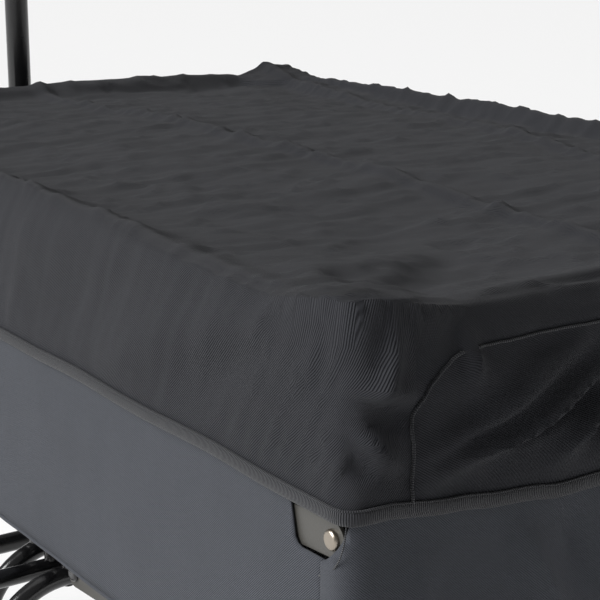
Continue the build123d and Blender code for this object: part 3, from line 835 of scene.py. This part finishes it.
def end_folds(point, normal):
    """Folds on an end panel and on its corners. Each corner's own set differs a little."""
    facing = abs(normal.x)
    if facing < 0.2 or abs(point.x) < POST_X:
        return 0.0
    shift = 0.006 * wobble(point.x * 3, point.y * 9, point.z * 9 + math.copysign(4, point.y))
    if point.x < 0 < point.y:
        shift *= 0.3
    place = (HALF_Y - abs(point.y) + shift, point.z - HEM_Z + shift)
    folds = sum(along_fold(place, fold) for fold in END_FOLDS) * min(1.0, facing * 1.2)
    puckers = sum(along_fold(place, fold) for fold in CORNER_FOLDS) * min(1.0, facing * 2.2)
    return folds + puckers + facing * crumple(point, END_WAVES)


def off_the_walls(place):
    """Keep the cover clear of the tub's cloth below the rim, and of the post caps above it."""
    if place.z < HEM_Z + HELD:
        return place
    inner = Vector((within(place.x, POST_X), within(place.y, POST_Y), place.z))
    if place.z > TUB_HIGH_Z:
        height = min(place.z, CAP_HIGH_Z - WALL_KEEP + LYING)
        inner = Vector((math.copysign(POST_X, place.x), math.copysign(POST_Y, place.y), height))
    away = place - inner
    if TINY < away.length < WALL_KEEP:
        place = inner + away.normalized() * WALL_KEEP
    return place


def tented(place, across):
    """Raise cloth near the top of a cap onto the cone that spreads from it."""
    lifted = CAP_HIGH_Z + LYING - TENT_SLOPE * max(0.0, across - 0.010)
    if CAP_HIGH_Z - 0.012 < place.z < lifted:
        place.z = lifted
    return place


def relaxed(sheet, rounds):
    """Even out the sheet round the post caps, so that the cloth spans them like a tent."""
    mesh = bmesh.new()
    mesh.from_mesh(sheet.data)
    near = []
    for vertex in mesh.verts:
        across = math.hypot(abs(vertex.co.x) - POST_X, abs(vertex.co.y) - POST_Y)
        if vertex.co.z > TENT_LOW_Z and across < TENT_R:
            share = min(1.0, (TENT_R - across) / 0.015) * min(1.0, (vertex.co.z - TENT_LOW_Z) / 0.02)
            near.append((vertex, share, across))
    for _ in range(rounds):
        targets = []
        for vertex, share, across in near:
            around = [edge.other_vert(vertex).co for edge in vertex.link_edges]
            target = vertex.co.lerp(sum(around, Vector()) / len(around), 0.6 * share)
            targets.append(tented(off_the_walls(target), across))
        for (vertex, _, _), target in zip(near, targets):
            vertex.co = target
    mesh.to_mesh(sheet.data)
    mesh.free()


def shape_cover(sheet):
    """Press creases and folds into the draped sheet, holding its lower edge."""
    mesh = sheet.data
    moved = []
    for vertex in mesh.vertices:
        hold = clamped((vertex.co.z - HEM_Z) / 0.02)
        place = vertex.co + vertex.normal * cover_relief(vertex.co, vertex.normal) * hold
        moved.append(off_the_walls(place))
    mesh.vertices.foreach_set("co", np.array(moved, float).reshape(-1))
    mesh.update()


def seam_route(points, end):
    """Numbers of the vertices along one end's seam, from the left hem over the top to the right hem."""
    at_end = [n for n, point in enumerate(points) if abs(point[0] - end * COVER_X) < TINY]
    upright, across = [], []
    for number in at_end:
        _, y, z = points[number]
        if abs(abs(y) - SEAM_Y) < TINY and z < END_SEAM_Z + TINY:
            upright.append(number)
        elif abs(z - END_SEAM_Z) < TINY and abs(y) < SEAM_Y - TINY:
            across.append(number)
    left = sorted((n for n in upright if points[n][1] > 0), key=lambda n: points[n][2])
    right = sorted((n for n in upright if points[n][1] < 0), key=lambda n: -points[n][2])
    return left + sorted(across, key=lambda n: -points[n][1]) + right


def on_surface(thing, point, proud):
    """The nearest place on a mesh, and a little proud of it."""
    _, place, normal, _ = thing.closest_point_on_mesh(point)
    return place + normal * proud


SEAM_CORNER = 0.020      # the seam's route is cut off this far from its upper corners
SEAM_STEP = 0.0035
SEAM_ROUNDS = 10         # rounds of smoothing
SEAM_PROUD = 0.0009      # the piping's middle stands this far off the cloth
SEAM_SIZE = (0.0016, 0.0022)


def eased(route):
    """A seam's route with its two upper corners rounded."""
    corners = [(side * SEAM_Y, END_SEAM_Z) for side in (-1, 1)]
    kept = [p for p in route if min(math.hypot(p.y - y, p.z - z) for y, z in corners) > SEAM_CORNER]
    path = evenly(kept, SEAM_STEP)
    for _ in range(SEAM_ROUNDS):
        path = [path[0]] + [(a + b * 2 + c) / 4 for a, b, c in zip(path, path[1:], path[2:])] + [path[-1]]
    return path


def make_seams(sheet, routes, material):
    """Piped seams that follow the finished sheet."""
    parts = []
    for route in routes:
        path = [on_surface(sheet, place, SEAM_PROUD) for place in eased(route)]
        outward = Vector((math.copysign(1, path[0].x), 0, 0))
        parts.append(swept("cover_seam", path, round_section(*SEAM_SIZE, 8), material, up=outward))
    return joined("cover_end_seams", parts)


def hem_path(half_x, half_y, z, radius, step):
    """Rounded rectangle at one height, slightly wavy."""
    corners = []
    for sx, sy, start in ((1, 1, 0), (-1, 1, 90), (-1, -1, 180), (1, -1, 270)):
        centre = Vector((sx * (half_x - radius), sy * (half_y - radius), z))
        corners += [centre + Vector((cos, sin, 0)) * radius for cos, sin in arc(start, start + 90, 15)]
    points = evenly(corners + [corners[0]], step)[:-1]
    return [point + Vector((0, 0, hem_wave(point))) for point in points]


END_SAG = 0.013          # the hem hangs this much lower across the ends


def hem_wave(point):
    """How far the hem rides above its mean height. It sags across the ends and is level at the corners."""
    if abs(point.x) > HALF_X - 0.02:
        inset = HALF_Y - abs(point.y)
        sag = END_SAG * clamped((inset - 0.03) / 0.11) ** 0.8
        return -sag + 0.0012 * wobble(point.x * 3, point.y * 40, 1.7) * min(1.0, inset / 0.05)
    inset = HALF_X - abs(point.x)
    return 0.0016 * min(1.0, inset / 0.1) * wobble(point.x * 14, point.y * 3, 1.7)


COVER_STEP = 0.0085      # cell of the sheet before it is subdivided
COVER_EDGE_R = 0.016     # between the top and the walls
HEM_R = 0.012            # plan radius of the corners at the hem
LOOSE_R = 0.036          # and above it
COVER_X = HALF_X - 0.0005
COVER_Y = HALF_Y - 0.0005
COVER_TOP = CAP_HIGH_Z + 0.0035
SETTLING_FRAMES = 36
TENT_ROUNDS = 24
SLACK = 0.004            # the whole cover is cut this much too large
FULLNESS = 0.020         # and this much more at its corners and ends


def full_share(point):
    """Where the cover is full: most at the corners, less across the end panels, none on top."""
    x, y, z = point
    drop = clamped((RIM_Z - 0.03 - z) / 0.03)
    at_end = clamped((abs(x) - COVER_X + 0.06) / 0.06)
    at_corner = clamped((abs(y) - COVER_Y + 0.07) / 0.05)
    return drop * at_end * (0.45 + 0.55 * at_corner)


def corner_radius(z):
    """Plan radius of the cover's corners: tight at the hem, loose above it."""
    return HEM_R + (LOOSE_R - HEM_R) * clamped((z - HEM_Z) / 0.05) ** 0.7


def draped_cover(materials):
    """The cover's sheet, settled over the rim, with the places of its seams."""
    size = (COVER_X, COVER_Y, COVER_TOP)
    points, faces, uvs = box_sheet(*size, HEM_Z, COVER_STEP, (-SEAM_Y, SEAM_Y), (END_SEAM_Z,))
    shaped = [rounded(point, *size, corner_radius(point[2]), COVER_EDGE_R) for point in points]
    for place in shaped:
        if place.z < HEM_Z + TINY:
            place.z += hem_wave(place)
    sheet = piece("rain_cover", shaped, faces, materials["cover_cloth"], uvs)
    pinned = [number for number, point in enumerate(points) if point[2] < HEM_Z + TINY]
    full = [full_share(point) for point in points]
    drape(sheet, pinned, full, rim_obstacles(materials["cover_cloth"]), SETTLING_FRAMES)
    vertices = sheet.data.vertices
    routes = [[vertices[number].co.copy() for number in seam_route(points, end)] for end in (-1, 1)]
    return sheet, routes


def make_cover(materials):
    """Rain cover: one sheet draped over the rim, its end seams, and the ribbed elastic hem."""
    sheet, routes = draped_cover(materials)
    subdivided(sheet)
    relaxed(sheet, TENT_ROUNDS)
    shape_cover(sheet)
    seam = make_seams(sheet, routes, materials["cover_binding"])
    hem = make_hem(materials)
    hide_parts("cover_main_panel", "cover_end_rear", "cover_end_front")
    for thing in (sheet, seam, hem):
        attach(thing, "cover")
        crumples(thing)


HEM_STEP = 0.006
# Name, stand-off from the skirt, height above its edge, and section of each ring of the hem.
HEM_RINGS = (
    ("cover_hem_band", 0.0004, -0.0036, round_section(0.0034, 0.0084, 12)),
    ("cover_hem_line", 0.0006, 0.0006, round_section(0.0018, 0.0012, 8)),
)


def make_hem(materials):
    """Ribbed elastic band under the cover's lower edge, with the seam line above it."""
    rings = []
    for name, out, rise, section in HEM_RINGS:
        path = hem_path(HALF_X + out, HALF_Y + out, HEM_Z + rise, HEM_R, HEM_STEP)
        rings.append(swept(name, path, section, materials["cover_binding"], closed=True))
    hem = joined("cover_hem_band", rings)
    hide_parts("cover_hem")
    return hem


# ---- tub cloth ----
WRAP_X = 0.4245          # the end cloth wraps round the post to here
OPENING_X = 0.415        # centre of the rounded corner opening
OPENING_Z = PIVOT_Z + 0.016
OPENING_RADII = (0.0275, 0.031)
END_COLUMNS = 57         # columns of the end cloth between its posts
END_CORNER_R = 0.017
CLOTH_T = 0.0012
TUB_STEP = 0.008
EDGE_DROP = 0.002        # the cloth's lower edge hangs this far below the CAD skin
TUB_HEM = round_section(0.0030, 0.0032, 8)


def cut_prism(outline, y_low, y_high, material):
    """Closed prism along Y over an XZ outline."""
    count = len(outline)
    vertices = [(x, y, z) for y in (y_low, y_high) for x, z in outline]
    faces = [tuple(range(count)), tuple(range(2 * count - 1, count - 1, -1))]
    faces += [(i, i + count, (i + 1) % count + count, (i + 1) % count) for i in range(count)]
    return facing_out(piece("cutter", vertices, faces, material))


def cut_away(thing, cutters):
    for cutter in cutters:
        modifier = thing.modifiers.new("cut", "BOOLEAN")
        modifier.operation = "DIFFERENCE"
        modifier.solver = "EXACT"
        modifier.object = cutter
    baked(thing)
    for cutter in cutters:
        bpy.data.objects.remove(cutter)
    return thing


def opening_outline(end_x):
    """Rounded opening at a corner, open upwards behind the cover."""
    points = []
    for cos, sin in arc(180, 360, 9):
        points.append((OPENING_X + OPENING_RADII[0] * cos, OPENING_Z + OPENING_RADII[1] * sin))
    for sign in (1, -1):
        points.append((OPENING_X + sign * OPENING_RADII[0], OPENING_Z + 0.05))
    return [(end_x * x, z) for x, z in points]


# Corners of the notch, as (distance from the middle, height above the corner pivot).
NOTCH = (
    (0.45, -0.0125), (0.404, -0.0129), (0.4005, -0.0115), (0.398, -0.0085),
    (0.3928, 0.0115), (0.3928, 0.0675), (0.45, 0.0675),
)


def notch_outline(end_x):
    """Notch in the side cloth round the corner fitting."""
    return [(end_x * x, PIVOT_Z + rise) for x, rise in NOTCH]


def side_bulge(x, z):
    """How far the side cloth stands out. It lies flat under the cover's hem."""
    free = clamped((HEM_Z - 0.014 - z) / 0.03)
    edge = clamped((WRAP_X + 0.001 - abs(x)) / 0.05)
    waves = 0.0016 * wobble(x * 9, z * 7, 4) + 0.0007 * wobble(x * 30, z * 14, 9)
    return free * edge * (0.0022 + waves) - (1 - edge) * 0.0005 - SIDE_TUCK * tucked(z)


def make_tub_side(side, word, materials):
    xs = breaks(-WRAP_X - 0.001, WRAP_X + 0.001, TUB_STEP)
    zs = breaks(TUB_LOW_Z - EDGE_DROP, TUB_HIGH_Z, TUB_STEP)
    outer = SKIN_Y - 0.0007
    vertices = [(x, side * (outer + side_bulge(x, z)), z) for z in zs for x in xs]
    faces = grid_faces(len(xs), len(zs))
    if side > 0:
        faces = [face[::-1] for face in faces]
    uvs = [(vertices[number][0], vertices[number][2]) for face in faces for number in face]
    panel = piece(f"tub_side_cloth_{word}", vertices, faces, materials["tub_cloth"], uvs)
    thickened(panel, CLOTH_T)
    cut_y = (side * SKIN_Y - 0.02, side * SKIN_Y + 0.02)
    cutters = [cut_prism(notch_outline(end_x), *cut_y, materials["tub_cloth"]) for end_x in (-1, 1)]
    cut_away(panel, cutters)
    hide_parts(f"tub_side_{word}")
    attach(panel, "rear_frame")
    hem_points = []
    for x in xs:
        hem_y = outer - CLOTH_T / 2 + side_bulge(x, TUB_LOW_Z)
        hem_points.append(Vector((x, side * hem_y, TUB_LOW_Z - EDGE_DROP)))
    hem = swept(f"tub_side_hem_{word}", hem_points, TUB_HEM, materials["tub_cloth"])
    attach(hem, "rear_frame")
    for thing in (panel, hem):
        crumples(thing)


def end_route(skin_x, skin_y, corner_r):
    """Plan outline of an end panel for the rear: along the left side, round both posts, and back."""
    route = [Vector((x, skin_y, 0)) for x in np.linspace(-WRAP_X, -skin_x + corner_r, 5)[:-1]]
    half = skin_y - corner_r
    for cos, sin in arc(90, 180, 10):
        route.append(Vector((-skin_x + corner_r + corner_r * cos, half + corner_r * sin, 0)))
    mirrored = [Vector((p.x, -p.y, 0)) for p in reversed(route)]
    between = [Vector((-skin_x, half * (1 - 2 * n / END_COLUMNS), 0)) for n in range(1, END_COLUMNS)]
    return route + between + mirrored


def end_bulge(point, z):
    """Loose folds in the end cloth. It lies flat under the cover's hem."""
    free = clamped((HEM_Z - 0.020 - z) / 0.03)
    folds = sum(along_fold((HALF_Y - abs(point.y), z - HEM_Z), fold) for fold in TUB_FOLDS)
    return free * (folds + 0.0012 * wobble(point.y * 12, z * 9, 5))


def make_tub_end(end_x, word, body, materials):
    route = end_route(SKIN_X, SKIN_Y, END_CORNER_R)
    behind = end_route(POST_X + POST_CLEAR, POST_Y + POST_CLEAR, POST_CLEAR)
    zs = breaks(TUB_LOW_Z - EDGE_DROP, TUB_HIGH_Z, TUB_STEP)
    lengths = distances(route)
    vertices = []
    for z in zs:
        for outer, inner in zip(route, behind):
            out = end_bulge(outer, z) if abs(outer.y) < SKIN_Y - 0.0005 else 0.0
            place = outer.lerp(inner, tucked(z))
            vertices.append((-end_x * (place.x - out), place.y, z))
    faces = grid_faces(len(route), len(zs))
    if end_x < 0:
        faces = [face[::-1] for face in faces]
    uvs = [(lengths[number % len(route)], vertices[number][2]) for face in faces for number in face]
    panel = piece(f"tub_end_cloth_{word}", vertices, faces, materials["tub_cloth"], uvs)
    bottom = [Vector(vertices[number]) for number in range(len(route))]
    thickened(panel, CLOTH_T)
    cutters = []
    for side in (-1, 1):
        y_low, y_high = sorted((side * (SKIN_Y - 0.008), side * (SKIN_Y + 0.01)))
        cutters.append(cut_prism(opening_outline(end_x), y_low, y_high, materials["tub_cloth"]))
    cut_away(panel, cutters)
    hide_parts(f"tub_end_{word}")
    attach(panel, body)
    hem = swept(f"tub_end_hem_{word}", bottom, TUB_HEM, materials["tub_cloth"])
    seams = [hem] + [facing_seam(end_x, side, materials) for side in (-1, 1)]
    trim = joined(f"tub_end_trim_{word}", seams)
    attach(trim, body)


def facing_seam(end_x, side, materials):
    """Seam line that follows the corner opening's edge."""
    points = []
    for cos, sin in arc(186, 258, 6):
        x = OPENING_X - (OPENING_RADII[0] + 0.0035) * cos
        z = OPENING_Z + 0.001 + (OPENING_RADII[1] + 0.0095) * sin
        points.append(Vector((end_x * x, side * SKIN_Y, z)))
    section = round_section(0.0009, 0.0009, 6)
    return swept("facing_seam", points, section, materials["cover_binding"], up=Vector((0, 1, 0)))


def make_liner(materials):
    """Inner liner: an open box of cloth with soft walls."""
    half_x, half_y = LINER_HIGH.x - 0.0005, LINER_HIGH.y - 0.0005
    floor_z = LINER_LOW.z + 0.001
    points, faces, uvs = box_sheet(half_x, half_y, floor_z, LINER_HIGH.z, 0.02)
    shaped = []
    for point in points:
        place = rounded(point, half_x, half_y, floor_z, 0.016, 0.012)
        inward = Vector((-place.x, -place.y, 0)).normalized()
        height = (place.z - floor_z) / (LINER_HIGH.z - floor_z)
        slack = 0.004 * math.sin(math.pi * clamped(height)) * (1 + noise.noise(place * 9))
        shaped.append(place + inward * slack)
    liner = piece("inner_liner", shaped, faces, materials["liner_cloth"], uvs)
    subdivided(liner)
    thickened(liner, CLOTH_T)
    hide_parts("tub_liner")
    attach(liner, "rear_frame")
    crumples(liner)


MAT_STEP = (0.007, 0.009)
MAT_INSET = Vector((0.001, 0.001, 0.0003))
MAT_PANELS = 4
MAT_ROWS = 5             # rows of quilting


def mat_thickness(x, y, low, high):
    """Full in each panel, and thin at the edges, the folds and the quilting."""
    edge = min(x - low.x, high.x - x, y - low.y, high.y - y)
    body = 1 - math.exp(-max(edge, 0.0) / 0.006)
    panel = (high.x - low.x) / MAT_PANELS
    groove = min(abs(x - (low.x + panel * n)) for n in range(1, MAT_PANELS))
    body *= 1 - 0.55 * ridge(groove, 0.005)
    row = abs((y - low.y) / (high.y - low.y) * MAT_ROWS % 1 - 0.5)
    quilting = 1 - 0.16 * ridge(0.5 - row, 0.05)
    return (high.z - low.z) * (0.25 + 0.75 * body * quilting)


def slab_faces(columns, rows):
    """Faces of a closed slab: a grid on top, one below it, and a wall between their edges."""
    count = columns * rows
    faces = grid_faces(columns, rows)
    faces += [tuple(count + number for number in face[::-1]) for face in faces]
    loop = [column for column in range(columns)]
    loop += [row * columns + columns - 1 for row in range(1, rows)]
    loop += [(rows - 1) * columns + column for column in range(columns - 2, -1, -1)]
    loop += [row * columns for row in range(rows - 2, 0, -1)]
    faces += [(here, here + count, there + count, there) for here, there in zip(loop, loop[1:] + loop[:1])]
    return faces


def make_mat(materials):
    """Padded floor mat in panels, with sewn folds between them and a bound edge."""
    low, high = MAT_LOW + MAT_INSET, MAT_HIGH - MAT_INSET
    xs = breaks(low.x, high.x, MAT_STEP[0])
    ys = breaks(low.y, high.y, MAT_STEP[1])
    vertices = [(x, y, low.z + mat_thickness(x, y, low, high)) for y in ys for x in xs]
    vertices += [(x, y, low.z) for y in ys for x in xs]
    faces = slab_faces(len(xs), len(ys))
    uvs = [(vertices[n][0], vertices[n][1] + vertices[n][2]) for face in faces for n in face]
    mat = piece("padded_floor_mat", vertices, faces, materials["mat_cloth"], uvs)
    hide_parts("floor_mat")
    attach(mat, "rear_frame")
    crumples(mat)


ROLL_STEP = 0.012
ROLL_SHARE = 0.98        # the roll's size as a share of the CAD roll's


def make_rolls(materials):
    """Padded rolls along the tub's long edges."""
    radius = (ROLL_HIGH.z - ROLL_LOW.z) / 2
    section = round_section(2 * radius * ROLL_SHARE, 2 * radius * ROLL_SHARE, 18)
    rolls = []
    for side in (-1, 1):
        path = []
        for x in breaks(ROLL_LOW.x, ROLL_HIGH.x, ROLL_STEP):
            slack = 0.0008 * wobble(x * 20, side * 5, 0)
            path.append(Vector((x, side * (ROLL_HIGH.y - radius), ROLL_LOW.z + radius + slack)))
        rolls.append(swept("rim_roll", path, section, materials["tub_cloth"]))
    roll = joined("padded_rim_rolls", rolls)
    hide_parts("rim_rolls")
    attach(roll, "rear_frame")
    crumples(roll)


# ---- tyres ----
TYRE_LUGS = 36
TYRE_STEPS = TYRE_LUGS * 6
TYRE_SEAT = 0.675        # radius of its seat on the rim, as a share of the tyre's
TREAD_WIDTH = 0.86       # as a share of the tyre's width
TREAD_POINTS = 12
TREAD_DEPTH = 0.022      # as a share of the radius
CROWN = 0.12             # how far the tread falls away at its edges, as a share of the half width
# Places down one sidewall and up the other: share of the half width, and of the height over the seat.
SIDEWALLS = ((1.0, 0.75), (0.97, 0.4), (0.86, 0.0), (-0.86, 0.0), (-0.97, 0.4), (-1.0, 0.75))


def tyre_section(radius, half):
    """Points round the section, as (radius, y, whether it is tread)."""
    seat = radius * TYRE_SEAT
    section = []
    for step in range(TREAD_POINTS + 1):
        share = step / TREAD_POINTS * 2 - 1
        section.append((radius - CROWN * half * abs(share) ** 3, share * half * TREAD_WIDTH, True))
    return section + [(seat + (radius - seat) * rise, share * half, False) for share, rise in SIDEWALLS]


def tread_cut(share, angle):
    """Depth of the tread's cuts, 0 to 1: a groove each side of the middle, and gaps between shoulder lugs."""
    if abs(share) > 0.28:
        lug = math.cos(TYRE_LUGS * (angle + 0.10 * abs(share)))
        return clamped((lug - 0.35) * 4)
    return 1.0 if 0.1 < abs(share) < 0.26 else 0.0


def make_tyre(name, body, materials):
    """Treaded tyre with a crowned section."""
    low, high = span(name)
    centre = (low + high) / 2
    radius = (high.z - low.z) / 2
    half = (high.y - low.y) / 2
    section = tyre_section(radius, half)
    vertices = []
    for step in range(TYRE_STEPS):
        angle = 2 * math.pi * step / TYRE_STEPS
        for r, y, tread in section:
            cut = radius * TREAD_DEPTH * tread_cut(y / half, angle) if tread else 0.0
            vertices.append(centre + Vector(((r - cut) * math.cos(angle), y, (r - cut) * math.sin(angle))))
    tyre = piece(f"treaded_{name}", vertices, tube_faces(len(section), TYRE_STEPS, True), materials["tyre"])
    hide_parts(name)
    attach(tyre, body)


# ---- build ----
materials = make_materials()
dress_frame(materials)
place_camera()
light_scene()
lay_floor()
make_cover(materials)
for side, word in ((1, "left"), (-1, "right")):
    make_tub_side(side, word, materials)
    make_tyre(f"rear_tyre_{word}", f"rear_wheel_{word}", materials)
    make_tyre(f"front_tyre_{word}", f"front_wheel_{word}", materials)
make_tub_end(-1, "rear", "rear_frame", materials)
make_tub_end(1, "front", "front_frame", materials)
make_liner(materials)
make_mat(materials)
make_rolls(materials)
